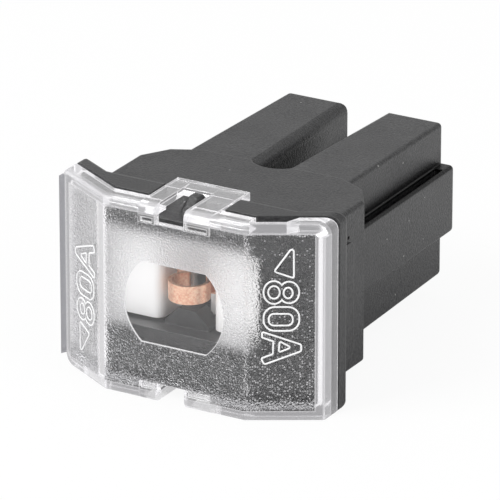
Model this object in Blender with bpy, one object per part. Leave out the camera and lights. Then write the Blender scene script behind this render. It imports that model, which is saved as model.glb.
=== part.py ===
# Plug-in fusible link, 80 A slow-blow type, with two female sockets.
#
# Five pieces: a black moulded housing, a clear moulded cover that latches over
# its front, two folded tin-plated terminals that run back into the hollow legs,
# and the copper loop that bridges them and melts on overload.
#
# The design frame has X across the cover, Y from the front of the cover back
# along the legs and Z up. The last step stands the model on its lowest edge.

from math import cos, pi, radians, sin, sqrt, tan

import bmesh
import bpy
import numpy as np

MM = 0.001

# Fits
CLEARANCE = 0.3 * MM        # between two pieces that seat on each other

# Cover
COVER_WIDTH = 29.8 * MM
COVER_HEIGHT = 20.6 * MM
WING_WIDTH = 7.0 * MM           # of each wing, seen from the front
COVER_FLAT_WIDTH = COVER_WIDTH - 2 * WING_WIDTH
WING_ANGLE = radians(30.0)      # how far each wing is folded back
PLATE_THICKNESS = 0.8 * MM
SKIRT_DEPTH = 2.2 * MM          # along Y, from the front of the plate
SKIRT_WALL = 1.1 * MM
COVER_CORNER = 1.2 * MM         # above on the right and below on the left
COVER_KEY_CORNER = 0.45 * MM    # the other two corners, which key the cover
LIP_WIDTH = 0.4 * MM            # rim along the outer end of each wing
LIP_PROUD = 0.8 * MM            # how far its tip stands forward
LIP_SUNK = 0.1 * MM             # how far its root lies in the wing
LIP_STEP = 0.05 * MM            # how far it stands past the end of the wing
COVER_EDGE = 0.35 * MM          # round along the front edge
WINDOW_RADIUS = 5.6 * MM        # polished window, a circle with two flats
WINDOW_HALF_HEIGHT = 4.25 * MM
WINDOW_DEPTH = 0.12 * MM
NOTCH_LENGTH = 3.1 * MM         # relief in the skirt of the right wing, beside the fold
NOTCH_DEPTH = 1.3 * MM
NOTCH_FROM_FOLD = 0.1 * MM
NOTCH_START = COVER_FLAT_WIDTH / 2 + NOTCH_FROM_FOLD
NOTCH_END = NOTCH_START + NOTCH_LENGTH

# Latch loops on the cover, one above and one below
LOOP_LEFT = -3.85 * MM
LOOP_RIGHT = 4.15 * MM
LOOP_GAP_LEFT = -2.0 * MM
LOOP_GAP_RIGHT = 1.3 * MM
LOOP_END = 7.65 * MM            # rear of the cross-bar
LOOP_BAR = 2.05 * MM            # width of the cross-bar
LOOP_THICKNESS = 0.85 * MM
LOOP_PROUD = 0.1 * MM           # how far the loops stand above the skirt
ARM_PROUD = 0.2 * MM            # how far the arms stand in front of the plate
ARM_LENGTH = 1.9 * MM           # from the top of the cover down to where an arm starts
ARM_FOOT = COVER_HEIGHT / 2 - ARM_LENGTH
ARM_ROUND = 0.8 * MM            # outer round where an arm turns back
ARM_SLOT_HEIGHT = 0.45 * MM     # blind slot across the front of each arm
ARM_SLOT_DEPTH = 0.35 * MM
ARM_SLOT_MARGIN = 0.28 * MM
ARM_STEP = 0.05 * MM            # small steps where the arms meet the plate and the bar

# Housing
FLANGE_OUT = 0.05 * MM          # past each side of the cover
FLANGE_ABOVE = 0.1 * MM         # past its top
FLANGE_WIDTH = COVER_WIDTH + 2 * FLANGE_OUT
FLANGE_HEIGHT = COVER_HEIGHT + 2 * FLANGE_ABOVE
FLANGE_THICKNESS = 1.8 * MM     # of the wings, along Y
FLANGE_CORNER = 1.1 * MM
FLANGE_KEY_CORNER = 0.8 * MM
FLANGE_ROUND = 0.7 * MM         # of its rear edge, all round
FLANGE_REAR = 6.0 * MM          # rear of its flat middle
BOSS_PLAY = 0.5 * MM            # between the skirt and the front of the housing inside it
BODY_IN_SIDE = 2.05 * MM        # how far the body stands in from the cover's sides
BODY_IN_TOP = 1.75 * MM
BODY_WIDTH = COVER_WIDTH - 2 * BODY_IN_SIDE
BODY_HEIGHT = COVER_HEIGHT - 2 * BODY_IN_TOP
BODY_SIDE_END = 15.2 * MM
DRAFT_SIDE = 0.3 * MM           # how far each side draws in along the legs
DRAFT_TOP = 0.25 * MM
TUNNEL_INNER = 3.05 * MM        # distance of the inner wall of a tunnel from the middle
TUNNEL_WIDTH = 4.6 * MM
LEG_WALL = 1.3 * MM             # outer wall of a tunnel
LEGS_WIDTH = 2 * (TUNNEL_INNER + TUNNEL_WIDTH + LEG_WALL + DRAFT_SIDE)
BODY_CHAMFER_IN = (BODY_WIDTH - LEGS_WIDTH) / 4
BODY_CHAMFER_LENGTH = 3.0 * MM
SHOULDER_Y = 19.1 * MM
BODY_EDGE = 0.4 * MM
LEGS_END = 39.0 * MM
LEG_STEP = 0.02 * MM            # legs lie this much below the top of the body
END_ROUND = 0.7 * MM            # at the rear end of legs and rails
SLOT_START = 18.3 * MM
SLOT_WIDTH = 3.1 * MM           # between the legs, at their root
SLOT_GROWTH = 0.65 * MM         # how far each wall opens towards the rear
SLOT_ROUND = 1.2 * MM           # round on the inner edges of the legs
SLOT_NOSE = 2.3 * MM            # length of the rounded front end of the slot
SLOT_OVER = 0.03 * MM           # how far that round runs out above the surface

# Guide rails on the outside of the legs
RAIL_HEIGHT = 7.2 * MM
RAIL_MIDDLE = 0.35 * MM         # height of the right rail's middle
RAIL_PROUD = 1.4 * MM
RAIL_CORNER = 0.4 * MM
RAIL_LIP = 0.35 * MM            # outer wall of the pocket behind the rail
RAIL_LEDGE = 0.12 * MM          # inner ledge of that pocket
RAIL_POCKET_DEPTH = 3.0 * MM
RAIL_POCKET_WALL = 2.2 * MM     # what closes the pocket at the rear

# Catches that hold the latch loops
CATCH_LEFT = -0.95 * MM
CATCH_RIGHT = 0.65 * MM
CATCH_RAMP = 2.0 * MM
CATCH_TOP = 0.95 * MM
CATCH_UNDER = 0.1 * MM          # how far its top lies below the top of the cover
CATCH_CHAMFER = 0.35 * MM

# Low pad down each side of the body, behind the flange, with a pit above it
PAD_PROUD = 0.25 * MM
PAD_END = 12.7 * MM
PAD_CORNER = 0.7 * MM
PAD_FROM_TOP = 3.25 * MM
PAD_FROM_BOTTOM = 1.65 * MM
PIT_RADIUS = 0.22 * MM
PIT_DEPTH = 0.5 * MM

# Chamber behind the cover, and the tunnels through the legs
CHAMBER_HALF_WIDTH = 8.7 * MM
CHAMBER_ROOF = 1.95 * MM
CHAMBER_BOTTOM = -3.0 * MM
CHAMBER_DEPTH = 12.0 * MM       # to where the tunnels start
TUNNEL_ROOF = 2.25 * MM
MOUTH_LEAD_IN = 0.35 * MM
BARRIER_TOP_WIDTH = 2.0 * MM    # ridge between the two terminals, under the link
BARRIER_BASE_WIDTH = 5.0 * MM
BARRIER_TOP = -1.1 * MM
BARRIER_FRONT = 2.9 * MM

# Terminals
SHEET = 0.6 * MM
SOCKET_SHEET = 0.65 * MM        # the same sheet where it is formed into the socket
TERMINAL_FRONT = 2.9 * MM       # front of the folded face
TERMINAL_INNER = 2.85 * MM      # distance of the web from the middle
TERMINAL_OUTER = 8.2 * MM
TERMINAL_CORNER = 0.8 * MM
TAB_INNER = 0.95 * MM           # tab on which the link's foot is welded
TAB_TOP = 2.4 * MM
TERMINAL_UNDER_ROOF = 0.4 * MM
SOCKET_FROM_INNER = 1.45 * MM   # of its base plate, from the tunnel's inner wall
SOCKET_FROM_ROOF = 1.4 * MM
SOCKET_START = 20.0 * MM
SOCKET_INSET = 1.0 * MM         # from the end of the leg
JOG_START = 7.5 * MM            # where the web steps outwards
JOG_LENGTH = 3.5 * MM
SHAPE_START = 11.4 * MM         # where its edges draw in to the socket's height
SHAPE_LENGTH = 2.0 * MM
BLADE_GAP = 0.9 * MM
CURL_REACH = 0.75 * MM
CURL_LIP = 3.4 * MM             # height of each rolled edge
CURL_BEND = 0.5 * MM
BEND_RADIUS = 0.7 * MM

# Fuse link
LINK_THICKNESS = 0.35 * MM
LINK_BOTTOM = 0.05 * MM
LINK_HEIGHT = 1.9 * MM
LINK_RADIUS = 2.1 * MM          # outside of the loop
LINK_FRONT = 1.35 * MM
LINK_FOOT_Y = 5.5 * MM          # middle of the feet's thickness
LINK_FOOT_END = 2.5 * MM
LINK_NECK = 0.3 * MM            # bend from the loop to a foot, at mid thickness

ROUND_STEPS = 6                 # facets of a quarter turn


# Small helpers

def rounded_rectangle(left, right, bottom, top, radius, steps=ROUND_STEPS, key=None):
    """Outline in X and Z with four round corners, anticlockwise seen from +Y's far side.

    With a key radius, the corners above on the left and below on the right get that one.
    """
    key = key or radius
    corners = [(right, top, radius, 0.0), (left, top, key, pi / 2),
               (left, bottom, radius, pi), (right, bottom, key, 3 * pi / 2)]
    points = []
    for x, z, corner, start in corners:
        centre_x = x - corner if x == right else x + corner
        centre_z = z - corner if z == top else z + corner
        for angle in np.linspace(start, start + pi / 2, steps + 1):
            points.append((centre_x + corner * cos(angle), centre_z + corner * sin(angle)))
    return points


def object_from(name, bm):
    """Close a bmesh into an object with its faces pointing out."""
    bmesh.ops.recalc_face_normals(bm, faces=bm.faces)
    mesh = bpy.data.meshes.new(name)
    bm.to_mesh(mesh)
    bm.free()
    made = bpy.data.objects.new(name, mesh)
    bpy.context.scene.collection.objects.link(made)
    return made


def loft(name, sections):
    """Solid through closed sections, each a list of (x, y, z) with the same number of points."""
    bm = bmesh.new()
    rings = [[bm.verts.new(point) for point in section] for section in sections]
    count = len(rings[0])
    for ring, following in zip(rings, rings[1:]):
        for i in range(count):
            j = (i + 1) % count
            bm.faces.new((ring[i], ring[j], following[j], following[i]))
    bm.faces.new(rings[0])
    bm.faces.new(rings[-1])
    return object_from(name, bm)


def extruded(name, outline, axis, start, end):
    """Prism of a flat outline: its two numbers are the axes other than the given one, in order."""
    sections = []
    for level in (start, end):
        section = []
        for first, second in outline:
            point = [first, second]
            point.insert("xyz".index(axis), level)
            section.append(tuple(point))
        sections.append(section)
    return loft(name, sections)


def box(name, x_range, y_range, z_range):
    """Plain block between two corners."""
    (left, right), (front, rear), (bottom, top) = x_range, y_range, z_range
    outline = [(left, bottom), (right, bottom), (right, top), (left, top)]
    return extruded(name, outline, "y", front, rear)


def bent_plate(name, half_width, half_height, corner, front_of, rear_of, folds, edge=0.0, key=None,
               rear_edge=0.0):
    """Upright plate whose front and rear follow functions of X, folded at the given X.

    The front and rear edges can be rounded. Each ring of the outline is first set at a
    whole number along Y, and that number then says which surface the ring lies on.
    """
    turns = np.linspace(0.0, pi / 2, 5) if edge else [pi / 2]
    rings = [(edge * (1 - sin(turn)), edge * (1 - cos(turn)), front_of) for turn in turns]
    turns = np.linspace(0.0, pi / 2, 5) if rear_edge else [pi / 2]
    rings += [(rear_edge * (1 - cos(turn)), rear_edge * (sin(turn) - 1), rear_of) for turn in turns]
    sections = []
    for level, (inset, _, _) in enumerate(rings):
        outline = rounded_rectangle(inset - half_width, half_width - inset, inset - half_height,
                                    half_height - inset, corner - inset, key=key and key - inset)
        sections.append([(x, float(level), z) for x, z in outline])
    plate = loft(name, sections)
    bm = bmesh.new()
    bm.from_mesh(plate.data)
    for fold in folds:
        for x in (-fold, fold):
            everything = bm.verts[:] + bm.edges[:] + bm.faces[:]
            bmesh.ops.bisect_plane(bm, geom=everything, plane_co=(x, 0, 0), plane_no=(1, 0, 0))
    for vert in bm.verts:
        _, set_back, surface = rings[round(vert.co.y)]
        vert.co.y = surface(vert.co.x) + set_back
    bm.to_mesh(plate.data)
    bm.free()
    return plate


def combine(target, tool, operation):
    """Cut a tool out of the target, or join it on, and hide the tool."""
    modifier = target.modifiers.new(tool.name, "BOOLEAN")
    modifier.operation = operation
    modifier.solver = "EXACT"
    modifier.object = tool
    tool.hide_render = True
    tool.display_type = "WIRE"
    tool.parent = target


def cut(target, *tools):
    for tool in tools:
        combine(target, tool, "DIFFERENCE")


def join(target, *tools):
    for tool in tools:
        combine(target, tool, "UNION")


def finish(piece, colour, roughness, metallic, transmission=0.0):
    """Give a piece its own material and smooth shading between its sharp edges."""
    material = bpy.data.materials.new(piece.name)
    material.use_nodes = True
    shader = material.node_tree.nodes["Principled BSDF"]
    shader.inputs["Base Color"].default_value = (*colour, 1.0)
    shader.inputs["Roughness"].default_value = roughness
    shader.inputs["Metallic"].default_value = metallic
    shader.inputs["Transmission Weight"].default_value = transmission
    piece.data.materials.append(material)
    piece.data.shade_smooth()
    piece.data.set_sharp_from_angle(angle=radians(28.0))


# The folded line that the cover and the flange share

def plate_front(x):
    """Y of the cover's front face: flat in the middle, folded back at each wing."""
    return max(0.0, abs(x) - COVER_FLAT_WIDTH / 2) * tan(WING_ANGLE)


def plate_back(x):
    """Y of the rear face of the cover's plate."""
    return plate_front(x) + PLATE_THICKNESS


def skirt_rear(x):
    """Y of the rear edge of the cover's skirt."""
    return plate_front(x) + SKIRT_DEPTH


def flange_front(x):
    return skirt_rear(x) + CLEARANCE


def flange_rear(x):
    return max(FLANGE_REAR, flange_front(x) + FLANGE_THICKNESS)


# Heights and places that follow from the sizes above

BODY_TOP = BODY_HEIGHT / 2
COVER_TOP = COVER_HEIGHT / 2
PAD_TOP = BODY_TOP - PAD_FROM_TOP
PAD_BOTTOM = PAD_FROM_BOTTOM - BODY_TOP
CHAMBER_TOP = BODY_TOP - CHAMBER_ROOF
TUNNEL_HALF_HEIGHT = BODY_TOP - TUNNEL_ROOF
TERMINAL_TOP = CHAMBER_TOP - TERMINAL_UNDER_ROOF
TERMINAL_BOTTOM = CHAMBER_BOTTOM + CLEARANCE
SOCKET_BASE = TUNNEL_INNER + SOCKET_FROM_INNER
SOCKET_HALF_HEIGHT = TUNNEL_HALF_HEIGHT - SOCKET_FROM_ROOF
FOLD = COVER_FLAT_WIDTH / 2
REAR_FOLD = FOLD + (FLANGE_REAR - flange_front(0.0) - FLANGE_THICKNESS) / tan(WING_ANGLE)


# Cover

def make_cover():
    """Clear cap: folded plate, skirt round its edge, and a latch loop above and below."""
    half_width = COVER_WIDTH / 2
    cover = bent_plate("cover", half_width, COVER_TOP, COVER_CORNER, plate_front, skirt_rear, [FOLD],
                       COVER_EDGE, COVER_KEY_CORNER)
    inner = bent_plate("cover_inside", half_width - SKIRT_WALL, COVER_TOP - SKIRT_WALL,
                       COVER_CORNER / 2, plate_back, lambda x: skirt_rear(x) + SKIRT_WALL, [FOLD])
    cut(cover, inner, window_cutter())
    for side in (1, -1):
        join(cover, end_lip(side))
        cut(cover, loop_gap(side), skirt_notch(side))
        for arm, ends in (("left", (LOOP_LEFT, LOOP_GAP_LEFT)), ("right", (LOOP_GAP_RIGHT, LOOP_RIGHT))):
            join(cover, loop_arm(side, arm, ends))
            cut(cover, arm_slot(side, arm, ends))
        join(cover, loop_bar(side))
    finish(cover, (0.9, 0.9, 0.9), 0.08, 0.0, transmission=1.0)
    return cover


def window_cutter():
    """Shallow polished recess: a circle cut off by a flat above and below."""
    reach = sqrt(WINDOW_RADIUS ** 2 - WINDOW_HALF_HEIGHT ** 2)
    half_angle = np.arctan2(WINDOW_HALF_HEIGHT, reach)
    outline = []
    for start in (-half_angle, pi - half_angle):
        for angle in np.linspace(start, start + 2 * half_angle, 4 * ROUND_STEPS + 1):
            outline.append((WINDOW_RADIUS * cos(angle), WINDOW_RADIUS * sin(angle)))
    return extruded("window_recess", outline, "y", -SKIRT_WALL, WINDOW_DEPTH)


def end_lip(side):
    """Rim along the outer end of a wing; its inner flank leans forward to a thin tip."""
    outer = COVER_WIDTH / 2 + LIP_STEP
    root = outer - LIP_WIDTH
    outline = [(side * root, plate_front(root) + LIP_SUNK),
               (side * (outer - LIP_STEP), plate_front(outer) - LIP_PROUD),
               (side * outer, plate_front(outer) - LIP_PROUD + LIP_STEP),
               (side * outer, plate_back(outer)),
               (side * root, plate_back(root) - LIP_SUNK)]
    low, high = upright(side, COVER_KEY_CORNER - COVER_TOP, COVER_TOP - COVER_CORNER)
    return extruded(f"end_lip_{side}", outline, "z", low, high)


def upright(side, near, far):
    """Range of Z between two heights, above the middle or mirrored below it."""
    return (near, far) if side > 0 else (-far, -near)


def loop_gap(side):
    """Opening in the plate and the skirt between the arms."""
    return box(f"loop_gap_{side}", (LOOP_GAP_LEFT - ARM_STEP, LOOP_GAP_RIGHT + ARM_STEP),
               (-SKIRT_WALL, SKIRT_DEPTH + SKIRT_WALL),
               upright(side, ARM_FOOT, COVER_TOP + SKIRT_WALL))


def loop_arm(side, arm, ends):
    """Bent strip: it starts on the front of the plate and turns back to the cross-bar."""
    top = COVER_TOP + LOOP_PROUD
    under = top - LOOP_THICKNESS
    outline = [(-ARM_PROUD, side * ARM_FOOT)]
    for turn in np.linspace(0.0, pi / 2, ROUND_STEPS + 1):
        outline.append((ARM_ROUND * (1 - cos(turn)) - ARM_PROUD, side * (top - ARM_ROUND * (1 - sin(turn)))))
    outline += [(LOOP_END - LOOP_BAR / 2, side * top), (LOOP_END - LOOP_BAR / 2, side * under),
                (PLATE_THICKNESS / 2, side * under), (PLATE_THICKNESS / 2, side * ARM_FOOT)]
    return extruded(f"loop_arm_{arm}_{side}", outline, "x", *ends)


def arm_slot(side, arm, ends):
    """Blind slot across the front of an arm, near its foot."""
    foot = ARM_FOOT + ARM_SLOT_MARGIN / 2
    return box(f"arm_slot_{arm}_{side}", (ends[0] + ARM_SLOT_MARGIN, ends[1] - ARM_SLOT_MARGIN),
               (-SKIRT_WALL, ARM_SLOT_DEPTH - ARM_PROUD), upright(side, foot, foot + ARM_SLOT_HEIGHT))


def loop_bar(side):
    """Cross-bar that snaps behind the catch; it stands out a little past the arms."""
    under = COVER_TOP + LOOP_PROUD - LOOP_THICKNESS
    return box(f"loop_bar_{side}", (LOOP_LEFT - ARM_STEP, LOOP_RIGHT + 2 * ARM_STEP),
               (LOOP_END - LOOP_BAR, LOOP_END),
               upright(side, under - ARM_STEP, under + LOOP_THICKNESS - ARM_STEP))


def skirt_notch(side):
    """Relief in the rear edge of the skirt, above on the right wing and below on the left."""
    depth = skirt_rear(0.0) - NOTCH_DEPTH
    ramp = NOTCH_DEPTH / 2
    corners = [(NOTCH_START, plate_front(NOTCH_START) + depth),
               (NOTCH_END, plate_front(NOTCH_END) + depth),
               (NOTCH_END + ramp, skirt_rear(NOTCH_END + ramp) + CLEARANCE),
               (NOTCH_END + ramp, skirt_rear(NOTCH_END) + SKIRT_DEPTH),
               (NOTCH_START, skirt_rear(NOTCH_END) + SKIRT_DEPTH)]
    corners = [(side * x, y) for x, y in corners]
    low, high = upright(side, COVER_TOP - SKIRT_WALL * 1.5, COVER_TOP + SKIRT_WALL)
    return extruded(f"skirt_notch_{side}", corners, "z", low, high)


# Housing

def make_housing():
    """Black moulding: flange, front boss, body, two hollow legs, rails and catches."""
    half_flange = FLANGE_WIDTH / 2
    housing = bent_plate("housing", half_flange, FLANGE_HEIGHT / 2, FLANGE_CORNER,
                         flange_front, flange_rear, [FOLD, REAR_FOLD], key=FLANGE_KEY_CORNER,
                         rear_edge=FLANGE_ROUND)
    cut(housing, flange_relief(1), flange_relief(-1))
    join(housing, front_boss(), body_block(), leg_block())
    for side in (1, -1):
        join(housing, guide_rail(side), side_pad(side), catch(side))
        cut(housing, rail_pocket(side), side_pit(side))
    cut(housing, leg_slot(), chamber())
    for side in (1, -1):
        cut(housing, tunnel(side))
    join(housing, barrier())
    finish(housing, (0.03, 0.03, 0.03), 0.5, 0.0)
    return housing


def flange_relief(side):
    """Notch in the flange through which the cover's latch loop passes."""
    return box(f"flange_relief_{side}", (LOOP_LEFT - CLEARANCE, LOOP_RIGHT + CLEARANCE),
               (0.0, LOOP_END + FLANGE_REAR), upright(side, BODY_TOP - BODY_EDGE, COVER_TOP + SKIRT_WALL))


def front_boss():
    """Raised front of the housing, which fills the cover's skirt with a clearance all round."""
    half_width = COVER_WIDTH / 2 - SKIRT_WALL - CLEARANCE
    return bent_plate("front_boss", half_width, COVER_TOP - SKIRT_WALL - BOSS_PLAY, COVER_CORNER / 2,
                      lambda x: plate_back(x) + CLEARANCE,
                      lambda x: flange_front(x) + FLANGE_THICKNESS / 3, [FOLD])


def body_block():
    """Middle of the housing, with corners that step in to the legs."""
    half = BODY_WIDTH / 2
    within = FLANGE_THICKNESS / 4
    inner = LEGS_WIDTH / 2 - LEG_WALL
    right = [(FOLD, flange_front(FOLD) + within), (half, flange_front(half) + within), (half, BODY_SIDE_END),
             (half - BODY_CHAMFER_IN, BODY_SIDE_END + BODY_CHAMFER_LENGTH),
             (LEGS_WIDTH / 2, SHOULDER_Y), (inner, SHOULDER_Y + LEG_WALL / 2)]
    outline = right + [(-x, y) for x, y in reversed(right)]
    block = extruded("body_block", outline, "z", -BODY_TOP, BODY_TOP)
    soften(block, BODY_EDGE)
    return block


def soften(target, width):
    """Round the edges of a block."""
    bevel = target.modifiers.new("edges", "BEVEL")
    bevel.width = width
    bevel.segments = 4
    bevel.limit_method = "ANGLE"
    bevel.angle_limit = radians(60.0)


def along_legs(y):
    """Share of the way from the root of the legs to their end."""
    return max(0.0, (y - SHOULDER_Y) / (LEGS_END - SHOULDER_Y))


def end_rounding(y):
    """How far a side draws in where an end is rounded: a quarter circle."""
    into = y - (LEGS_END - END_ROUND)
    if into <= 0.0:
        return 0.0
    return END_ROUND - sqrt(max(0.0, END_ROUND ** 2 - into ** 2))


def end_stations(start):
    """Places along Y for a loft that ends in a rounded end."""
    turns = np.linspace(0.0, pi / 2, ROUND_STEPS + 1)
    rounded = [LEGS_END - END_ROUND + END_ROUND * sin(turn) for turn in turns[:-1]]
    return [start] + rounded + [LEGS_END - END_ROUND * (1 - sin(turns[-2])) / 4]


def leg_side(y):
    """Outer side of the legs, with its draft."""
    return LEGS_WIDTH / 2 - DRAFT_SIDE * along_legs(y)


def leg_block():
    """Both legs as one tapering block, rounded at its end and rooted deep in the body."""
    sections = []
    for y in [SHOULDER_Y - 2 * SLOT_ROUND] + end_stations(SHOULDER_Y):
        half_width = leg_side(y) - end_rounding(y)
        half_height = BODY_TOP - LEG_STEP - DRAFT_TOP * along_legs(y) - end_rounding(y)
        outline = rounded_rectangle(-half_width, half_width, -half_height, half_height, BODY_EDGE, 4)
        sections.append([(x, y, z) for x, z in outline])
    return loft("leg_block", sections)


def guide_rail(side):
    """Rail along the outside of a leg; the left one is the right one turned half round."""
    sections = []
    for y in end_stations(BODY_SIDE_END):
        outer = leg_side(y) + RAIL_PROUD - end_rounding(y)
        inner = leg_side(y) - LEG_WALL / 2
        reach = RAIL_HEIGHT / 2 - end_rounding(y)
        outline = rounded_rectangle(inner, outer, RAIL_MIDDLE - reach, RAIL_MIDDLE + reach, RAIL_CORNER, 4)
        sections.append([(side * x, y, side * z) for x, z in outline])
    return loft(f"guide_rail_{side}", sections)


def rail_pocket(side):
    """Narrow pocket behind the lip of the rail, open upwards and closed at the rear."""
    top = RAIL_MIDDLE + RAIL_HEIGHT / 2
    sections = []
    for y in (SHOULDER_Y + CLEARANCE, LEGS_END - RAIL_POCKET_WALL):
        inner = leg_side(y) + RAIL_LEDGE
        outer = leg_side(y) + RAIL_PROUD - RAIL_LIP
        low, high = top - RAIL_POCKET_DEPTH, top + RAIL_PROUD
        outline = [(inner, low), (outer, low), (outer, high), (inner, high)]
        sections.append([(side * x, y, side * z) for x, z in outline])
    return loft(f"rail_pocket_{side}", sections)


def side_pad(side):
    """Low pad on the side of the body, rounded at its rear corners."""
    outline = [(FLANGE_REAR, PAD_TOP), (FLANGE_REAR, PAD_BOTTOM)]
    for middle, start in ((PAD_BOTTOM + PAD_CORNER, -pi / 2), (PAD_TOP - PAD_CORNER, 0.0)):
        for turn in np.linspace(start, start + pi / 2, ROUND_STEPS):
            outline.append((PAD_END - PAD_CORNER * (1 - cos(turn)), middle + PAD_CORNER * sin(turn)))
    half = BODY_WIDTH / 2
    return extruded(f"side_pad_{side}", [(y, side * z) for y, z in outline], "x",
                    *sorted((side * (half - PAD_PROUD), side * (half + PAD_PROUD))))


def side_pit(side):
    """Small round pit just above the pad."""
    outline = []
    for angle in np.linspace(0.0, 2 * pi, 9)[:-1]:
        outline.append((PAD_END - PAD_CORNER + PIT_RADIUS * cos(angle),
                        side * (PAD_TOP + 2 * PIT_RADIUS) + PIT_RADIUS * sin(angle)))
    half = BODY_WIDTH / 2
    return extruded(f"side_pit_{side}", outline, "x",
                    *sorted((side * (half - PIT_DEPTH), side * (half + PIT_DEPTH))))


def catch(side):
    """Wedge that the cross-bar snaps behind: ramp, short top, square rear, chamfered corners."""
    rear = LOOP_END - LOOP_BAR - CLEARANCE
    foot = BODY_TOP - BODY_EDGE
    top = COVER_TOP - CATCH_UNDER
    ramp = rear - CATCH_TOP
    sections = []
    stations = [(ramp - CATCH_RAMP, foot + CATCH_CHAMFER), (ramp, top), (rear, top)]
    for y, height in stations:
        shoulder = height - CATCH_CHAMFER
        sections.append([(CATCH_LEFT, y, side * foot), (CATCH_RIGHT, y, side * foot),
                         (CATCH_RIGHT, y, side * max(shoulder, foot + CATCH_CHAMFER / 2)),
                         (CATCH_RIGHT - CATCH_CHAMFER, y, side * height),
                         (CATCH_LEFT + CATCH_CHAMFER, y, side * height),
                         (CATCH_LEFT, y, side * max(shoulder, foot + CATCH_CHAMFER / 2))])
    return loft(f"catch_{side}", sections)


def leg_slot():
    """Gap between the legs, flared where their edges are rounded and with a rounded front end."""
    nose = [SLOT_START + SLOT_NOSE * (1 - cos(turn)) for turn in np.linspace(0.12, pi / 2, 2 * ROUND_STEPS)]
    sections = []
    for y in nose + [LEGS_END + CLEARANCE]:
        wall = SLOT_WIDTH / 2 + SLOT_GROWTH * along_legs(y)
        top = BODY_TOP - DRAFT_TOP * along_legs(y) + SLOT_OVER
        into = min(1.0, (y - SLOT_START) / SLOT_NOSE)
        limit = (SLOT_WIDTH / 2 + SLOT_ROUND) * sqrt(1 - (1 - into) ** 2) if into < 1.0 else LEGS_WIDTH
        flare = []
        for turn in np.linspace(0.0, pi / 2, ROUND_STEPS + 1):
            x = wall + SLOT_ROUND * (1 - cos(turn))
            flare.append((min(x, limit), top - SLOT_ROUND * (1 - sin(turn))))
        flare.append((min(wall + SLOT_ROUND, limit), top + SLOT_ROUND))
        right = [(x, -z) for x, z in reversed(flare)] + flare
        left = [(-x, z) for x, z in reversed(right)]
        sections.append([(x, y, z) for x, z in right + left])
    return loft("leg_slot", sections)


def chamber():
    """Opening in the front of the housing, where the link shows through the cover."""
    outline = rounded_rectangle(-CHAMBER_HALF_WIDTH, CHAMBER_HALF_WIDTH, CHAMBER_BOTTOM, CHAMBER_TOP,
                                BODY_EDGE, 2)
    return extruded("chamber", outline, "y", 0.0, CHAMBER_DEPTH)


def tunnel(side):
    """Hollow of one leg, from the chamber to its mouth, which widens in a lead-in."""
    sections = []
    stations = [(CHAMBER_DEPTH - LEG_WALL, 0.0), (LEGS_END - MOUTH_LEAD_IN, 0.0),
                (LEGS_END + MOUTH_LEAD_IN, 2 * MOUTH_LEAD_IN)]
    for y, widening in stations:
        inner = TUNNEL_INNER - widening
        outer = TUNNEL_INNER + TUNNEL_WIDTH + widening
        half_height = TUNNEL_HALF_HEIGHT + widening
        outline = rounded_rectangle(inner, outer, -half_height, half_height, BODY_EDGE, 2)
        sections.append([(side * x, y, z) for x, z in outline])
    return loft(f"tunnel_{side}", sections)


def barrier():
    """Ridge on the floor of the chamber that keeps the two terminals apart."""
    foot = CHAMBER_BOTTOM - BODY_EDGE
    outline = [(-BARRIER_BASE_WIDTH / 2, foot), (BARRIER_BASE_WIDTH / 2, foot),
               (BARRIER_BASE_WIDTH / 2, CHAMBER_BOTTOM + BODY_EDGE), (BARRIER_TOP_WIDTH / 2, BARRIER_TOP),
               (-BARRIER_TOP_WIDTH / 2, BARRIER_TOP), (-BARRIER_BASE_WIDTH / 2, CHAMBER_BOTTOM + BODY_EDGE)]
    return extruded("barrier", outline, "y", BARRIER_FRONT, LINK_FOOT_Y - LINK_THICKNESS / 2 - CLEARANCE)


# Folded sheet parts

def rounded_path(corners, radius, steps=ROUND_STEPS):
    """Corners of a path in the plane, each replaced by an arc that touches both legs."""
    points = [np.array(corners[0], float)]
    for before, corner, after in zip(corners, corners[1:], corners[2:]):
        corner = np.array(corner, float)
        to_start = np.array(before, float) - corner
        to_end = np.array(after, float) - corner
        to_start /= np.linalg.norm(to_start)
        to_end /= np.linalg.norm(to_end)
        half_angle = np.arccos(np.clip(to_start @ to_end, -1.0, 1.0)) / 2
        reach = radius / tan(half_angle)
        centre = corner + (to_start + to_end) / np.linalg.norm(to_start + to_end) * radius / sin(half_angle)
        first = corner + to_start * reach - centre
        last = corner + to_end * reach - centre
        turn = np.arctan2(first[0] * last[1] - first[1] * last[0], first @ last)
        for share in np.linspace(0.0, 1.0, steps + 1):
            c, s = cos(turn * share), sin(turn * share)
            points.append(centre + np.array([c * first[0] - s * first[1], s * first[0] + c * first[1]]))
    points.append(np.array(corners[-1], float))
    return np.array(points)


def sides_of(path, thickness):
    """The two lines half a thickness to either side of a path."""
    step = np.diff(path, axis=0)
    step /= np.linalg.norm(step, axis=1)[:, None]
    normal = np.stack([-step[:, 1], step[:, 0]], axis=1)
    across = np.concatenate([normal[:1], normal[:-1] + normal[1:], normal[-1:]])
    across /= np.linalg.norm(across, axis=1)[:, None]
    across[1:-1] /= np.sum(across[1:-1] * normal[1:], axis=1)[:, None]
    return path + across * thickness / 2, path - across * thickness / 2


def folded_sheet(name, path, thickness, bottoms, tops):
    """Upright sheet that follows a path in X and Y, with its lower and upper edge at each point."""
    left, right = sides_of(path, thickness)
    sections = []
    for near, far, low, high in zip(left, right, bottoms, tops):
        sections.append([(near[0], near[1], low), (far[0], far[1], low),
                         (far[0], far[1], high), (near[0], near[1], high)])
    return loft(name, sections)


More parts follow.
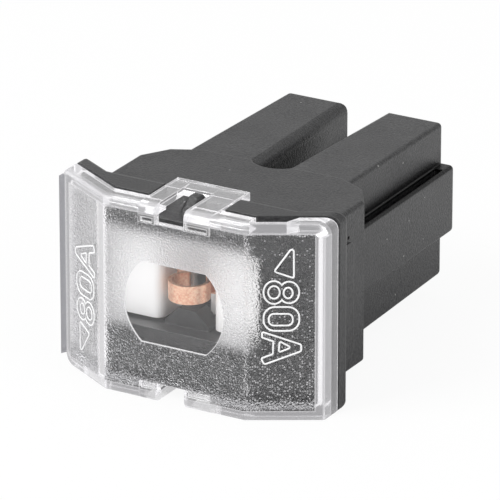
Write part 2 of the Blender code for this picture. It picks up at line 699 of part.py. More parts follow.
def make_terminal(name, side):
    """Tin-plated terminal: front face, web with the weld tab, jog, and a socket with curled edges."""
    inner = TERMINAL_INNER + SHEET / 2
    front = TERMINAL_FRONT + SHEET / 2
    base = SOCKET_BASE + SOCKET_SHEET / 2
    turns = np.linspace(0.0, pi / 2, ROUND_STEPS)[:-1]
    corner = [(TERMINAL_OUTER - TERMINAL_CORNER * (1 - cos(turn)), front) for turn in turns]
    folds = [(TERMINAL_OUTER - TERMINAL_CORNER, front), (inner, front), (inner, JOG_START),
             (base, JOG_START + JOG_LENGTH), (base, SHAPE_START)]
    rest = [(base, SHAPE_START + SHAPE_LENGTH), (base, SOCKET_START + SHEET)]
    path = np.concatenate([corner, rounded_path(folds, BEND_RADIUS), rest])
    levels = [SHAPE_START, SHAPE_START + SHAPE_LENGTH]
    lower = np.interp(path[:, 1], levels, [TERMINAL_BOTTOM, SHEET - SOCKET_HALF_HEIGHT])
    upper = np.interp(path[:, 1], levels, [TERMINAL_TOP, SOCKET_HALF_HEIGHT - SHEET])
    drawn_in = TERMINAL_CORNER * (1 - np.sin(turns))
    lower[:len(turns)] += drawn_in
    upper[:len(turns)] -= drawn_in
    path[:, 0] *= side
    terminal = folded_sheet(name, path, SHEET, lower, upper)
    join(terminal, weld_tab(name, side, inner), socket(name, side, base))
    finish(terminal, (0.86, 0.86, 0.85), 0.3, 1.0)
    return terminal


def weld_tab(name, side, inner):
    """Tab that stands in from the web, behind the foot of the link."""
    front = LINK_FOOT_Y + LINK_THICKNESS / 2 + CLEARANCE
    return box(f"{name}_tab", sorted((side * TAB_INNER, side * inner)), (front, front + SHEET),
               (TERMINAL_BOTTOM + CLEARANCE, TAB_TOP))


def socket(name, side, base):
    """Socket for a blade: a base with both edges rolled over it, carried along Y."""
    edge = SOCKET_HALF_HEIGHT - SOCKET_SHEET / 2
    over = base + SOCKET_SHEET + BLADE_GAP
    upper = [(base, edge), (over + CURL_REACH, edge), (over, SOCKET_HALF_HEIGHT - CURL_LIP)]
    corners = [(x, -z) for x, z in reversed(upper)] + upper
    path = rounded_path(corners, CURL_BEND)
    left, right = sides_of(path, SOCKET_SHEET)
    outline = np.concatenate([left, right[::-1]])
    sections = []
    for y in (SOCKET_START, LEGS_END - SOCKET_INSET):
        sections.append([(side * x, y, z) for x, z in outline])
    return loft(f"{name}_socket", sections)


def make_link():
    """Copper strip in the shape of an omega: a foot on each weld tab and a loop between."""
    centre = LINK_FRONT + LINK_RADIUS
    radius = LINK_RADIUS - LINK_THICKNESS / 2
    neck_y = LINK_FOOT_Y - LINK_NECK
    neck_x = sqrt((radius + LINK_NECK) ** 2 - (neck_y - centre) ** 2)
    meeting = np.arctan2(neck_y - centre, neck_x)
    right = [(radius * cos(angle), centre + radius * sin(angle))
             for angle in np.linspace(-pi / 2, meeting, 5 * ROUND_STEPS)]
    right += [(neck_x + LINK_NECK * cos(angle), neck_y + LINK_NECK * sin(angle))
              for angle in np.linspace(meeting + pi, pi / 2, ROUND_STEPS + 1)[1:]]
    right.append((LINK_FOOT_END, LINK_FOOT_Y))
    left = [(-x, y) for x, y in right[1:]]
    path = np.array(left[::-1] + right)
    bottoms = np.full(len(path), LINK_BOTTOM)
    link = folded_sheet("fuse_link", path, LINK_THICKNESS, bottoms, bottoms + LINK_HEIGHT)
    finish(link, (0.8, 0.42, 0.28), 0.3, 1.0)
    return link


def main():
    for old in list(bpy.data.objects):
        bpy.data.objects.remove(old)
    stand = bpy.data.objects.new("stand", None)
    bpy.context.scene.collection.objects.link(stand)
    pieces = [make_housing(), make_cover(), make_terminal("terminal_right", 1),
              make_terminal("terminal_left", -1), make_link()]
    for piece in pieces:
        piece.parent = stand
    stand.location = (0.0, (ARM_PROUD - LEGS_END) / 2, COVER_TOP + LOOP_PROUD)


main()
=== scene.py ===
# %% [markdown]
# # A fusible link, lit as on a white studio table
#
# The real object is a plug-in fuse: a black moulded housing with two hollow legs, a clear
# cover that snaps over its front, and behind the cover two tin-plated terminals bridged by
# a small copper loop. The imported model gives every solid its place. This script adds the
# finishes, the raised rating marks on the cover, the light and the camera.

from math import cos, pi, radians, sin, tan

import bmesh
import bpy
import numpy as np
from mathutils import Matrix, Vector


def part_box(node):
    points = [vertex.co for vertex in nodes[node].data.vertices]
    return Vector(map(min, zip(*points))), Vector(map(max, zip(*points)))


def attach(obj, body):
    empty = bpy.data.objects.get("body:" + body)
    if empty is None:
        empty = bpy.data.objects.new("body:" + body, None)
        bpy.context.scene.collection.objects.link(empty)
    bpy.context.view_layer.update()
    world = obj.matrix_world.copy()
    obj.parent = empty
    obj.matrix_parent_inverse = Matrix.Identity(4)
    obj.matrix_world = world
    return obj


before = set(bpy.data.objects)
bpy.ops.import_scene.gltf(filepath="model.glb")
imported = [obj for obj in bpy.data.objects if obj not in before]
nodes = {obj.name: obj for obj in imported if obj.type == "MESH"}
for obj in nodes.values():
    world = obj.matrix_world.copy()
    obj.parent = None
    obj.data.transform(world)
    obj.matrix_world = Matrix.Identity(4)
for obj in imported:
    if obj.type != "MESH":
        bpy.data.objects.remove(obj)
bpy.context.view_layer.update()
MM = 0.001
print("nodes:", sorted(nodes))

# %% [markdown]
# ## The cover's own measures
#
# Everything on the cover follows its folded front: a flat middle and two wings, each
# turned back by 30 degrees. So the first values describe that fold. The front of the
# plate is a small step behind the front of the latch arms, which reach the model's box.

# %% Where the cover is
cover_low, cover_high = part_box("cover")
ARM_PROUD = 0.2 * MM                      # the latch arms stand this far before the plate
PLATE_Y = float(cover_low[1]) + ARM_PROUD  # front of the flat middle
PLATE_THICKNESS = 0.8 * MM
FOLD = 7.9 * MM                           # half of the flat middle's width
WING_ANGLE = radians(30.0)
COVER_MIDDLE_Z = float(cover_low[2] + cover_high[2]) / 2
COVER_HALF_WIDTH = float(cover_high[0] - cover_low[0]) / 2
COVER_HALF_HEIGHT = 10.3 * MM             # without the latch loops
print("front of the plate at y", round(PLATE_Y / MM, 3), "mm")
print("middle of the cover at z", round(COVER_MIDDLE_Z / MM, 3), "mm")


def on_plate(along, height, proud):
    """Points on the folded front, as an array with a last axis of x, y, z.

    along is the distance from the middle measured on the plate, height is above the
    cover's middle and proud is the distance in front of the surface. Within the fold,
    x = along and y = front - proud. Past it, the rest of the length runs at the wing's
    angle w: x = fold + rest cos w + proud sin w, y = front + rest sin w - proud cos w.
    """
    along, height, proud = np.broadcast_arrays(along, height, proud)
    rest = np.maximum(np.abs(along) - FOLD, 0.0)
    lean = np.where(rest > 0.0, WING_ANGLE, 0.0)
    x = np.minimum(np.abs(along), FOLD) + rest * cos(WING_ANGLE) + proud * np.sin(lean)
    y = PLATE_Y + rest * sin(WING_ANGLE) - proud * np.cos(lean)
    return np.stack([np.sign(along) * x, y, COVER_MIDDLE_Z + height], axis=-1)


# %% [markdown]
# ## A node group that several finishes share
#
# Moulded plastic and rolled strip are never quite even: they have a fine grain, and a
# little dust lies on them. Both are worked out from Object coordinates, so they stay on
# the piece when the camera moves. They are one node group, which puts out values only,
# and each material uses it with its own sizes. A picture of the grain would do too, but
# the solids would have to be unwrapped for it, and noise needs no unwrapping.

# %% Helpers that make nodes


def new_group(name, inputs, outputs):
    """An empty shader node group; inputs is a dict of values, outputs a list of names."""
    group = bpy.data.node_groups.new(name, "ShaderNodeTree")
    for socket, value in inputs.items():
        made = group.interface.new_socket(socket, in_out="INPUT", socket_type="NodeSocketFloat")
        made.default_value = value
    for socket in outputs:
        group.interface.new_socket(socket, in_out="OUTPUT", socket_type="NodeSocketFloat")
    return group, group.nodes.new("NodeGroupInput"), group.nodes.new("NodeGroupOutput")


def add(tree, kind, **settings):
    """A shader node of that kind, with its own settings."""
    node = tree.nodes.new("ShaderNode" + kind)
    for key, value in settings.items():
        setattr(node, key, value)
    return node


def maths(tree, operation, *inputs):
    """A Math node; each input is a number or a socket."""
    node = add(tree, "Math", operation=operation)
    for i, value in enumerate(inputs):
        if isinstance(value, (int, float)):
            node.inputs[i].default_value = value
        else:
            tree.links.new(value, node.inputs[i])
    return node.outputs[0]


def all_of(tree, mask, *others):
    """Masks multiplied, which is 1 only where each of them is 1."""
    for other in others:
        mask = maths(tree, "MULTIPLY", mask, other)
    return mask


# %% Moulded grain: a height for bump, fine specks and a slow cloud
GRAIN_DETAIL = 3.0
SPECK_RADIUS = 0.13                       # as a share of a speck's cell
CLOUD_SIZE = 4.0 * MM

grain_group, group_in, group_out = new_group(
    "moulded_grain", {"Grain Size": 0.1, "Speck Size": 0.5, "Speck Share": 0.1},
    ["Height", "Specks", "Cloud"])
coords = add(grain_group, "TexCoord")
fine = add(grain_group, "TexNoise")
fine.inputs["Detail"].default_value = GRAIN_DETAIL
cells = add(grain_group, "TexVoronoi")
cloud = add(grain_group, "TexNoise")
cloud.inputs["Scale"].default_value = 1.0 / CLOUD_SIZE
cloud.inputs["Detail"].default_value = 2.0
for pattern in (fine, cells, cloud):
    grain_group.links.new(coords.outputs["Object"], pattern.inputs["Vector"])
for pattern, size in ((fine, "Grain Size"), (cells, "Speck Size")):
    scale = maths(grain_group, "DIVIDE", 1.0 / MM, group_in.outputs[size])
    grain_group.links.new(scale, pattern.inputs["Scale"])
near = maths(grain_group, "LESS_THAN", cells.outputs["Distance"], SPECK_RADIUS)
split = add(grain_group, "SeparateColor")
grain_group.links.new(cells.outputs["Color"], split.inputs["Color"])
chosen = maths(grain_group, "LESS_THAN", split.outputs[0], group_in.outputs["Speck Share"])
grain_group.links.new(fine.outputs["Fac"], group_out.inputs["Height"])
grain_group.links.new(all_of(grain_group, near, chosen), group_out.inputs["Specks"])
grain_group.links.new(cloud.outputs["Fac"], group_out.inputs["Cloud"])
print("group", grain_group.name, "with", len(grain_group.nodes), "nodes")

# %% [markdown]
# ## What the finishes have in common
#
# Each finish is one Principled shader, whose colour, roughness and bump vary over the
# surface. The imported solids have sharp edges, while moulded edges are slightly round and
# catch the light. A Bevel node rounds the normal there without changing the mesh, and the
# angle between its normal and the face's own gives a mask of the edges, on which the
# finishes paint a highlight.

# %% Helpers that make finishes
NOISE_RANGE = (0.35, 0.65)                # what a noise spans over most of a surface


def place_group(tree, group, **values):
    """The group as a node in a material, with its named inputs set."""
    node = tree.nodes.new("ShaderNodeGroup")
    node.node_tree = group
    for key, value in values.items():
        node.inputs[key.replace("_", " ")].default_value = value
    return node


def new_material(name, colour, roughness, metallic=0.0):
    """A Principled material with plain starting values."""
    material = bpy.data.materials.new(name)
    material.use_nodes = True
    shader = material.node_tree.nodes["Principled BSDF"]
    shader.inputs["Base Color"].default_value = (*colour, 1.0)
    shader.inputs["Roughness"].default_value = roughness
    shader.inputs["Metallic"].default_value = metallic
    return material, material.node_tree, shader


def mix(tree, share, first, second, blend="MIX"):
    """A colour mix: first where the share is 0 and second where it is 1.

    Each is a colour or a socket.
    """
    node = add(tree, "Mix", data_type="RGBA", blend_type=blend)
    tree.links.new(share, node.inputs[0])
    for i, colour in ((6, first), (7, second)):
        if isinstance(colour, tuple):
            node.inputs[i].default_value = (*colour, 1.0)
        else:
            tree.links.new(colour, node.inputs[i])
    return node.outputs[2]


def ramp(tree, value, start, end, low=0.0, high=1.0, smooth=False):
    """A Map Range node: low up to start, high from end on, and even or smooth between."""
    node = add(tree, "MapRange", interpolation_type="SMOOTHSTEP" if smooth else "LINEAR")
    tree.links.new(value, node.inputs["Value"])
    limits = {"From Min": start, "From Max": end, "To Min": low, "To Max": high}
    for socket, number in limits.items():
        node.inputs[socket].default_value = number
    return node.outputs["Result"]


def object_place(tree):
    """Object coordinates as a vector, and as x, y and the height above the cover's middle."""
    vector = add(tree, "TexCoord").outputs["Object"]
    axes = add(tree, "SeparateXYZ")
    tree.links.new(vector, axes.inputs[0])
    x, y, z = axes.outputs
    return vector, x, y, z, maths(tree, "SUBTRACT", z, COVER_MIDDLE_Z)


def bump(tree, shader, height, strength, distance):
    """A Bump node on the shader's normal."""
    node = add(tree, "Bump")
    node.inputs["Strength"].default_value = strength
    node.inputs["Distance"].default_value = distance
    tree.links.new(height, node.inputs["Height"])
    tree.links.new(node.outputs["Normal"], shader.inputs["Normal"])
    return node


def soft_edges(tree, surface, radius, narrow, wide):
    """Round the normal under a Bump node, and give a mask of the edges.

    The mask grows from 0 to 1 as the rounded normal turns away from the face: their dot
    product falls from the narrow value to the wide one.
    """
    rounding = add(tree, "Bevel", samples=4)
    rounding.inputs["Radius"].default_value = radius
    tree.links.new(rounding.outputs["Normal"], surface.inputs["Normal"])
    flat = add(tree, "NewGeometry")
    turned = add(tree, "VectorMath", operation="DOT_PRODUCT")
    tree.links.new(rounding.outputs["Normal"], turned.inputs[0])
    tree.links.new(flat.outputs["True Normal"], turned.inputs[1])
    return ramp(tree, turned.outputs["Value"], narrow, wide)


def dress(node, material):
    """Give a CAD node a finish in all its slots."""
    for slot in node.material_slots:
        slot.material = material
    print(node.name, "has", material.name, "on", len(node.data.polygons), "faces")


# %% [markdown]
# ## The housing
#
# The housing is black glass-filled plastic with a satin mould finish. It reads as dark
# grey, because its surface mirrors the white room. A fine grain breaks the highlights and a
# few pale specks of dust lie on it. Its edges get a painted highlight, a paler grey where
# they would catch the light.
#
# Deep in the slot and just above the rails the real plastic lies in shade and looks nearly
# black. Clean plastic would still mirror the room there, so a mask paints that shade in: it
# turns the plastic into a black that mirrors nothing, as a metal's reflection takes the base
# colour, and a black metal has none.

# %% Black moulded plastic: grain, specks and gloss
SHINY, SATIN = 0.26, 0.40
DEEP_BLACK, SOFT_BLACK = (0.002, 0.002, 0.003), (0.034, 0.034, 0.035)
DUST = (0.30, 0.30, 0.29)

black_plastic, tree, shader = new_material("black_moulded_plastic",
                                           colour=(0.014, 0.014, 0.015), roughness=0.32)
grain = place_group(tree, grain_group, Grain_Size=0.2, Speck_Size=0.7, Speck_Share=0.015)
mottle = ramp(tree, grain.outputs["Height"], *NOISE_RANGE)
black = mix(tree, mottle, DEEP_BLACK, SOFT_BLACK)
dusty = mix(tree, grain.outputs["Specks"], black, DUST)
gloss = ramp(tree, grain.outputs["Cloud"], 0.0, 1.0, SHINY, SATIN)
tree.links.new(gloss, shader.inputs["Roughness"])
surface = bump(tree, shader, grain.outputs["Height"], strength=0.8, distance=0.06 * MM)
print("gloss from", SHINY, "to", SATIN)

# %% Painted highlight on the edges, but none inside the chamber
CHAMBER_HALF_WIDTH = 8.9 * MM
CHAMBER_HALF_HEIGHT = 7.0 * MM
CHAMBER_END = PLATE_Y + 12.0 * MM
EDGE_HIGHLIGHT = 0.6
EDGE_HIGHLIGHT_GREY = (0.17, 0.17, 0.17)

edges = soft_edges(tree, surface, radius=0.14 * MM, narrow=0.97, wide=0.80)
_, x, y, _, height = object_place(tree)
sideways = maths(tree, "ABSOLUTE", x)
chamber = all_of(tree, maths(tree, "LESS_THAN", y, CHAMBER_END),
                 maths(tree, "LESS_THAN", sideways, CHAMBER_HALF_WIDTH),
                 maths(tree, "LESS_THAN", maths(tree, "ABSOLUTE", height), CHAMBER_HALF_HEIGHT))
# Painted highlight: outside the chamber the edges are painted a paler grey.
outside = maths(tree, "MULTIPLY_ADD", chamber, -EDGE_HIGHLIGHT, EDGE_HIGHLIGHT)
with_edge_highlight = mix(tree, all_of(tree, edges, outside), dusty, EDGE_HIGHLIGHT_GREY)
print("edges rubbed by", EDGE_HIGHLIGHT)

# %% Painted shade deep in the slot and in the corner above each rail
SLOT_HALF_WIDTH = 2.4 * MM
SLOT_LIGHT_HEIGHT, SLOT_DARK_HEIGHT = 7.9 * MM, 6.4 * MM
SLOT_LIGHT_END, SLOT_DARK_END = PLATE_Y + 37.0 * MM, PLATE_Y + 27.0 * MM
SLOT_PAINTED_SHADE = 0.95
RAIL_TOP = 3.95 * MM
RAIL_FADE = 2.0 * MM
RAIL_LEDGE = 0.3 * MM
RAIL_PAINTED_SHADE = 0.6
LEG_START = PLATE_Y + 15.4 * MM
BLACK = (0.0, 0.0, 0.0)

# Painted shade: the slot's depth and the corner above each rail turn black and stop mirroring.
slot_shade = all_of(tree, maths(tree, "LESS_THAN", sideways, SLOT_HALF_WIDTH),
                 maths(tree, "GREATER_THAN", y, CHAMBER_END),
                 ramp(tree, height, SLOT_LIGHT_HEIGHT, SLOT_DARK_HEIGHT, smooth=True),
                 ramp(tree, y, SLOT_LIGHT_END, SLOT_DARK_END, smooth=True))
rail_shade = all_of(tree, ramp(tree, height, RAIL_TOP + RAIL_FADE, RAIL_TOP, smooth=True),
                    maths(tree, "GREATER_THAN", height, RAIL_TOP - RAIL_LEDGE),
                    maths(tree, "GREATER_THAN", y, LEG_START))
painted_shade = maths(tree, "MAXIMUM", maths(tree, "MULTIPLY", slot_shade, SLOT_PAINTED_SHADE),
             maths(tree, "MULTIPLY", rail_shade, RAIL_PAINTED_SHADE))
tree.links.new(mix(tree, painted_shade, with_edge_highlight, BLACK), shader.inputs["Base Color"])
tree.links.new(painted_shade, shader.inputs["Metallic"])
dress(nodes["housing"], black_plastic)

# %% [markdown]
# ## Terminals and link
#
# The terminals are copper alloy with a satin tin plating, which under soft light is
# nearly white. The link is bare copper strip with the faint marks of its forming, so its
# colour is mottled between a pale and a deep copper. The marks could be cut into the mesh,
# but they are finer than a tenth of a millimetre, so a bump shows them well enough.

# %% Tin plating
tin, tree, shader = new_material("tin_plating", colour=(0.93, 0.93, 0.92), roughness=0.5,
                                 metallic=0.35)
grain = place_group(tree, grain_group, Grain_Size=0.3, Speck_Size=0.9, Speck_Share=0.02)
bump(tree, shader, grain.outputs["Height"], strength=0.25, distance=0.02 * MM)
for name in ("terminal_left", "terminal_right"):
    dress(nodes[name], tin)

# %% Bare copper
PALE_COPPER, DEEP_COPPER = (0.99, 0.68, 0.49), (0.84, 0.42, 0.27)

copper, tree, shader = new_material("bare_copper", colour=(0.90, 0.52, 0.36), roughness=0.36,
                                    metallic=0.85)
grain = place_group(tree, grain_group, Grain_Size=0.25, Speck_Size=0.6, Speck_Share=0.05)
mottle = ramp(tree, grain.outputs["Height"], *NOISE_RANGE)
tree.links.new(mix(tree, mottle, PALE_COPPER, DEEP_COPPER), shader.inputs["Base Color"])
bump(tree, shader, grain.outputs["Height"], strength=0.6, distance=0.05 * MM)
dress(nodes["fuse_link"], copper)

# %% [markdown]
# ## The clear cover: where each part of it lies
#
# The cover is clear plastic. Its front is pebbled all over, apart from a smooth border and
# a polished window in the middle, so only the window shows what is behind it sharply. The
# cover's look is worked out in one node group of masks. It starts from two measures: how
# far a point lies behind the folded front, and how far it is from each outline. A painted
# picture could hold the masks as well, but worked out this way they are sharp at any size.

# %% The cover's group, and distances on the cover
BORDER = 1.0 * MM
WINDOW_RADIUS = 5.6 * MM                  # the window is a disc cut off above and below
WINDOW_HALF_HEIGHT = 4.25 * MM

cover_group, group_in, group_out = new_group(
    "cover_masks", {"Glint Size": 0.21},
    ["Pebbled", "Height", "Plate", "Border", "Rim", "Side", "Lip", "Arm", "Wing", "Band", "Foot",
     "Glow", "Glints"])


def on_cover(operation, *inputs):
    """A Math node in the cover's group."""
    return maths(cover_group, operation, *inputs)


def put_out(socket, *masks):
    """Link a mask, or several multiplied, to one of the group's outputs."""
    cover_group.links.new(all_of(cover_group, *masks), group_out.inputs[socket])


vector, x, y, z, height = object_place(cover_group)
sideways = on_cover("ABSOLUTE", x)
upwards = on_cover("ABSOLUTE", height)
past_fold = on_cover("MAXIMUM", on_cover("SUBTRACT", sideways, FOLD), 0.0)
front = on_cover("MULTIPLY_ADD", past_fold, tan(WING_ANGLE), PLATE_Y)
depth = on_cover("SUBTRACT", y, front)
past_panel = on_cover("MAXIMUM", on_cover("SUBTRACT", sideways, COVER_HALF_WIDTH - BORDER),
                      on_cover("SUBTRACT", upwards, COVER_HALF_HEIGHT - BORDER))
radius = on_cover("SQRT", on_cover("ADD", on_cover("MULTIPLY", sideways, sideways),
                                   on_cover("MULTIPLY", height, height)))
past_window = on_cover("MAXIMUM", on_cover("SUBTRACT", radius, WINDOW_RADIUS),
                       on_cover("SUBTRACT", upwards, WINDOW_HALF_HEIGHT))
print("panel is", round(2 * (COVER_HALF_WIDTH - BORDER) / MM, 2), "mm wide")

# %% [markdown]
# ## The pebbled panel
#
# The pebbles are a bump made from noise. A mask keeps it inside the border, outside the
# window, on the front surface only, and off a smooth band beside the left fold.

# %% Plate, border and pebbles
FRONT_SKIN = 0.09 * MM                    # what lies this near the front counts as on it
PEBBLE_SIZE = 0.20 * MM
FOLD_BAND = 1.25 * MM
BAND_SOFTNESS = 0.3                       # as a share of the band's width
PLATE_BACK = 1.1 * PLATE_THICKNESS        # a little past the back of the plate

inside = on_cover("LESS_THAN", past_panel, 0.0)
in_plate = on_cover("LESS_THAN", depth, PLATE_BACK)
plate = all_of(cover_group, in_plate, inside)
put_out("Plate", plate)
put_out("Border", on_cover("SUBTRACT", in_plate, plate))

left_wing = on_cover("LESS_THAN", x, -FOLD)
band_width = FOLD_BAND * cos(WING_ANGLE)
beside_fold = ramp(cover_group, sideways, FOLD + (1.0 + BAND_SOFTNESS) * band_width,
                   FOLD + (1.0 - BAND_SOFTNESS) * band_width, smooth=True)
# The band beside the left fold also gets painted light further down.
band = all_of(cover_group, left_wing, beside_fold)
put_out("Band", plate, band)

at_front = on_cover("LESS_THAN", on_cover("ABSOLUTE", depth), FRONT_SKIN)
off_window = on_cover("GREATER_THAN", past_window, 0.0)
pebbled = all_of(cover_group, at_front, off_window, inside, on_cover("SUBTRACT", 1.0, band))
pebbles = add(cover_group, "TexNoise")
pebbles.inputs["Scale"].default_value = 1.0 / PEBBLE_SIZE
pebbles.inputs["Detail"].default_value = 1.0
cover_group.links.new(vector, pebbles.inputs["Vector"])
pebbles = pebbles.outputs["Fac"]
put_out("Pebbled", pebbled)
put_out("Height", pebbles, pebbled)
print("pebbles of", round(PEBBLE_SIZE / MM, 2), "mm")

# %% [markdown]
# ## Where painted light makes the clear plastic look milky
#
# Where clear plastic is thick, curved or ends, it scatters light and looks pale. Here that
# paleness is painted light: on its ends, on the latch arms, along the thin steps that
# outline the window and the panel, on the border, beside the left fold and all over the
# left wing, which is seen at a low angle. Each place gets a mask of its own, so that its
# painted light can be set by itself.

# %% Painted light on outlines, ends, arms and wing
RIM_WIDTH = 0.11 * MM
RIM_DEPTH = PLATE_THICKNESS / 4
SIDE_SKIN = 0.05 * MM
LIP_PROUD = 0.04 * MM                     # the end rims stand proud of the wings
ARM_FRONT = 0.1 * MM
WING_NOISE = (0.46, 0.60)

# Painted light on the outlines, the cover's ends, its end rims, the latch arms and the left wing.
nearest = on_cover("MINIMUM", on_cover("ABSOLUTE", past_window), on_cover("ABSOLUTE", past_panel))
put_out("Rim", on_cover("LESS_THAN", depth, RIM_DEPTH),
        on_cover("LESS_THAN", nearest, RIM_WIDTH / 2))
put_out("Side", on_cover("GREATER_THAN", sideways, COVER_HALF_WIDTH - SIDE_SKIN))
put_out("Lip", left_wing, on_cover("LESS_THAN", depth, -LIP_PROUD))
put_out("Arm", on_cover("LESS_THAN", depth, -ARM_FRONT), on_cover("LESS_THAN", sideways, FOLD))
put_out("Wing", plate, left_wing, ramp(cover_group, pebbles, *WING_NOISE))
print("outlines of", round(RIM_WIDTH / MM, 2), "mm")

# %% [markdown]
# ## Painted glow, painted glints and the foot's painted shade
#
# In front of the two bright terminals the pebbles get a painted glow, which stands in for
# the terminals' light that they scatter. The glow is a soft box whose outline the pebbles
# break up. Elsewhere single pebbles get painted glints: each is a cell of a Voronoi pattern,
# chosen by its random colour, and more of them are chosen towards the foot of the panel.
# The foot itself gets a painted smoky shade, which darkens it where one looks past the
# housing's lower edge.

# %% Masks for the painted glow, the painted glints and the foot's painted shade
GLOW_HALF_WIDTH = 8.3 * MM
GLOW_BOTTOM, GLOW_TOP = -2.9 * MM, 7.7 * MM
GLOW_BREAK = 2.4 * MM                     # how far the pebbles move the outline
GLOW_START, GLOW_FULL = 1.9 * MM, 0.4 * MM
GLINTS_FROM, GLINTS_TO = 2.0 * MM, -9.0 * MM
FEW, MANY = 0.15, 0.62                    # share of the cells that glint
GLINT_RADIUS, GLINT_CORE = 0.46, 0.15     # as a share of a cell
GLINT_STRENGTH = 0.62
FOOT_START, FOOT_FULL = -6.8 * MM, -8.4 * MM

off_middle = on_cover("ABSOLUTE", on_cover("SUBTRACT", height, (GLOW_TOP + GLOW_BOTTOM) / 2))
past_box = on_cover("MAXIMUM", on_cover("SUBTRACT", sideways, GLOW_HALF_WIDTH),
                    on_cover("SUBTRACT", off_middle, (GLOW_TOP - GLOW_BOTTOM) / 2))
past_glow = on_cover("MULTIPLY_ADD", pebbles, GLOW_BREAK, past_box)
# Painted glow in front of the terminals, then the foot's painted shade.
put_out("Glow", pebbled, ramp(cover_group, past_glow, GLOW_START, GLOW_FULL, smooth=True))
put_out("Foot", pebbled, ramp(cover_group, height, FOOT_START, FOOT_FULL, smooth=True))

flat_place = add(cover_group, "CombineXYZ")
cover_group.links.new(x, flat_place.inputs[0])
cover_group.links.new(z, flat_place.inputs[1])
cells = add(cover_group, "TexVoronoi", voronoi_dimensions="2D")
cover_group.links.new(flat_place.outputs[0], cells.inputs["Vector"])
cover_group.links.new(on_cover("DIVIDE", 1.0 / MM, group_in.outputs["Glint Size"]),
                      cells.inputs["Scale"])
split = add(cover_group, "SeparateColor")
cover_group.links.new(cells.outputs["Color"], split.inputs["Color"])
share = ramp(cover_group, height, GLINTS_FROM, GLINTS_TO, FEW, MANY)
# Painted glints on single pebbles.
put_out("Glints", pebbled, on_cover("LESS_THAN", split.outputs[0], share),
        ramp(cover_group, cells.outputs["Distance"], GLINT_RADIUS, GLINT_CORE),
        on_cover("MULTIPLY", split.outputs[1], GLINT_STRENGTH))
print("group", cover_group.name, "with", len(cover_group.nodes), "nodes")

# %% [markdown]
# ## The clear plastic itself
#
# It is a Principled shader with full transmission. The milk is painted light: the largest
# of the masks, each times its own paleness. It darkens the base colour, which takes away
# what is seen through the plastic, and puts a pale colour in its place as a weak light of
# its own. Two surfaces of glass each take a square root of the base colour, so the
# darkening is 1 - (1 - milk) squared = milk (2 - milk). Lamps can't light what is behind
# glass directly, so rays to the lamps pass straight through.

# %% Gloss, pebbles and the foot's painted smoky shade
CLEAR, SMOKY_PAINTED_SHADE = (0.975, 0.97, 0.98), (0.33, 0.33, 0.34)
POLISHED, PEBBLE_ROUGHNESS, BORDER_ROUGHNESS = 0.05, 0.36, 0.16
CLEAR_IOR = 1.49                          # how strongly clear acrylic bends light

clear, tree, shader = new_material("pebbled_clear_plastic", colour=CLEAR, roughness=0.03)
shader.inputs["Transmission Weight"].default_value = 1.0
shader.inputs["IOR"].default_value = CLEAR_IOR
masks = place_group(tree, cover_group).outputs
gloss = ramp(tree, masks["Pebbled"], 0.0, 1.0, POLISHED, PEBBLE_ROUGHNESS)
tree.links.new(maths(tree, "MULTIPLY_ADD", masks["Border"], BORDER_ROUGHNESS, gloss),
               shader.inputs["Roughness"])
# Painted smoky shade at the foot of the panel.
shaded_tint = mix(tree, masks["Foot"], CLEAR, SMOKY_PAINTED_SHADE)
surface = bump(tree, shader, masks["Height"], strength=1.0, distance=0.32 * MM)
edges = soft_edges(tree, surface, radius=0.16 * MM, narrow=0.93, wide=0.76)
print("roughness", POLISHED, "in the window,", PEBBLE_ROUGHNESS, "on the pebbles")

# %% Milk, painted light
EDGE_PAINTED_LIGHT, PAINTED_HAZE = 0.75, 0.10
PAINTED_PALENESS = {"Glints": 1.3, "Wing": 0.26, "Arm": 0.13, "Band": 0.42, "Lip": 0.9, "Border": 0.42,
        "Side": 0.45, "Rim": 0.62, "Glow": 0.5}
PAINTED_LIGHT_STRENGTH = 0.88
PAINTED_MILKY, LIP_PAINTED_GREY, BORDER_PAINTED_GREY = (0.94, 0.93, 0.95), (0.41, 0.41, 0.43), (0.76, 0.76, 0.77)

# Painted light: a haze, the edges and each mask make the milk, which glows pale.
painted_haze = ramp(tree, masks["Plate"], 0.0, 1.0, PAINTED_HAZE, 0.0)
painted_milk = maths(tree, "MAXIMUM", maths(tree, "MULTIPLY", edges, EDGE_PAINTED_LIGHT), painted_haze)
for name, paleness in PAINTED_PALENESS.items():
    painted_milk = maths(tree, "MAXIMUM", painted_milk, maths(tree, "MULTIPLY", masks[name], paleness))
veil = maths(tree, "MULTIPLY", painted_milk, maths(tree, "SUBTRACT", 2.0, painted_milk))
tree.links.new(mix(tree, veil, shaded_tint, BLACK), shader.inputs["Base Color"])
painted_colour = mix(tree, masks["Lip"], PAINTED_MILKY, LIP_PAINTED_GREY)
painted_colour = mix(tree, masks["Border"], painted_colour, BORDER_PAINTED_GREY, blend="MULTIPLY")
tree.links.new(mix(tree, painted_milk, BLACK, painted_colour), shader.inputs["Emission Color"])
shader.inputs["Emission Strength"].default_value = PAINTED_LIGHT_STRENGTH
print("milk from", len(PAINTED_PALENESS), "masks, the edges and a haze")

# %% Let the lamps shine through
PASSED_ON = (0.985, 0.985, 0.985)         # share of the lamps' light, for each colour

rays = add(tree, "LightPath")
through = add(tree, "BsdfTransparent")
through.inputs[0].default_value = (*PASSED_ON, 1.0)
mixed = add(tree, "MixShader")
tree.links.new(maths(tree, "MAXIMUM", rays.outputs["Is Shadow Ray"],
                     rays.outputs["Is Diffuse Ray"]), mixed.inputs[0])
tree.links.new(shader.outputs[0], mixed.inputs[1])
tree.links.new(through.outputs[0], mixed.inputs[2])
tree.links.new(mixed.outputs[0], tree.nodes["Material Output"].inputs[0])
dress(nodes["cover"], clear)

